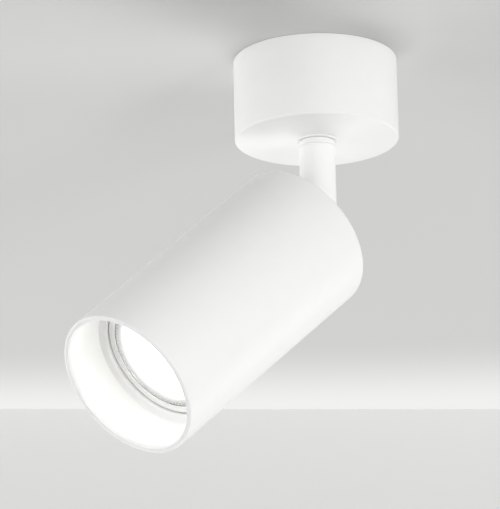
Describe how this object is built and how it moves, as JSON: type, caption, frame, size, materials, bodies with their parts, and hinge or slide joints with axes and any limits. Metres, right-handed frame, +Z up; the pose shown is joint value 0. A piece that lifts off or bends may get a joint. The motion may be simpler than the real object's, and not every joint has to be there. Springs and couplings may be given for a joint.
{
  "type": "surface mounted ceiling spotlight",
  "caption": "White cylinder spotlight on a short stem under a round ceiling canopy: it pans, tilts, and holds a twist-and-lock reflector lamp behind a pull-out baffle ring.",
  "frame": {"origin": "middle of the ceiling face, on the pan axis, in the plane of the bracket's top and the canopy's rim", "axes": "+Z up into the ceiling along the pan axis; the tilt axis lies along X; at rest the head points to -Y and 49 degrees out from straight down"},
  "size_m": [0.064, 0.1433, 0.1689],
  "materials": {
    "white_coat": "matte white powder coat, fine texture",
    "white_nylon": "moulded white nylon",
    "zinc_steel": "bright zinc plated sheet steel",
    "spring_steel": "blackened spring steel",
    "screw_steel": "nickel plated steel",
    "brass": "plain machined brass",
    "tinned_copper": "tin plated copper",
    "nickel_brass": "nickel plated brass",
    "block_plastic": "natural moulded nylon",
    "steatite": "unglazed steatite",
    "cable_cover": "white silicone sleeve",
    "live_brown": "brown silicone insulation",
    "neutral_blue": "blue silicone insulation",
    "earth_green": "green and yellow silicone insulation",
    "seal_rubber": "pale silicone rubber",
    "lamp_white": "white moulded polycarbonate",
    "lamp_rim": "pale moulded polycarbonate",
    "lamp_clear": "clear polycarbonate cover",
    "lamp_glow": "lit frosted optic",
    "board_white": "white solder mask",
    "led_phosphor": "yellow phosphor chips",
    "sink_aluminium": "die cast aluminium",
    "board_green": "green circuit board"
  },
  "bodies": {
    "ceiling": {"canopy": "white_coat", "ceiling_bracket": "zinc_steel", "canopy_screw": "screw_steel", "terminal_block": "block_plastic", "terminal_clamps": "brass", "terminal_screws": "screw_steel", "block_screw": "screw_steel", "earth_screw": "screw_steel", "earth_washer": "zinc_steel", "earth_tag": "tinned_copper", "canopy_live_lead": "live_brown", "canopy_neutral_lead": "neutral_blue", "canopy_earth_lead": "earth_green", "pan_stop_pin": "zinc_steel", "glide_washer": "white_nylon", "inner_washer": "white_nylon"},
    "arm": {"stem": "white_coat", "stem_collar": "white_nylon", "disc_spring": "spring_steel", "pan_stop_washer": "zinc_steel", "pan_nut": "zinc_steel", "neck_bush": "white_nylon", "stem_cable": "cable_cover"},
    "head": {"swivel_post": "white_coat", "tilt_washers": "white_nylon", "tilt_screws": "screw_steel", "head_tube": "white_coat", "rear_plate": "white_coat", "snap_ring": "spring_steel", "post_washer": "zinc_steel", "post_nut": "zinc_steel", "lampholder_bracket": "zinc_steel", "bracket_screws": "screw_steel", "lampholder_body": "steatite", "lampholder_cover": "steatite", "lampholder_contacts": "tinned_copper", "lampholder_screws": "screw_steel", "plate_earth_screw": "screw_steel", "plate_earth_tag": "tinned_copper", "head_cable": "cable_cover", "head_live_lead": "live_brown", "head_neutral_lead": "neutral_blue", "head_earth_lead": "earth_green"},
    "baffle": {"baffle": "white_coat", "baffle_o_ring": "seal_rubber"},
    "lamp": {"lamp_housing": "lamp_white", "lamp_bezel": "lamp_rim", "lamp_lens": "lamp_clear", "lamp_optic": "lamp_glow", "lamp_led_board": "board_white", "lamp_leds": "led_phosphor", "lamp_heat_sink": "sink_aluminium", "lamp_driver_board": "board_green", "lamp_base": "lamp_white", "lamp_pins": "nickel_brass"}
  },
  "joints": [
    {"name": "pan", "type": "hinge", "parent": "ceiling", "child": "arm", "pos_m": [0, 0, 0], "axis": [0, 0, 1], "range_deg": [-165, 165]},
    {"name": "tilt", "type": "hinge", "parent": "arm", "child": "head", "pos_m": [0, 0, -0.0666], "axis": [-1, 0, 0], "range_deg": [-49, 41]},
    {"name": "lamp_twist", "type": "hinge", "parent": "head", "child": "lamp", "pos_m": [0, 0, -0.0666], "axis": [0, -0.7547, -0.6561], "range_deg": [0, 25]},
    {"name": "baffle_pull", "type": "slide", "parent": "head", "child": "baffle", "axis": [0, -0.7547, -0.6561], "range_m": [0, 0.0222]}
  ]
}
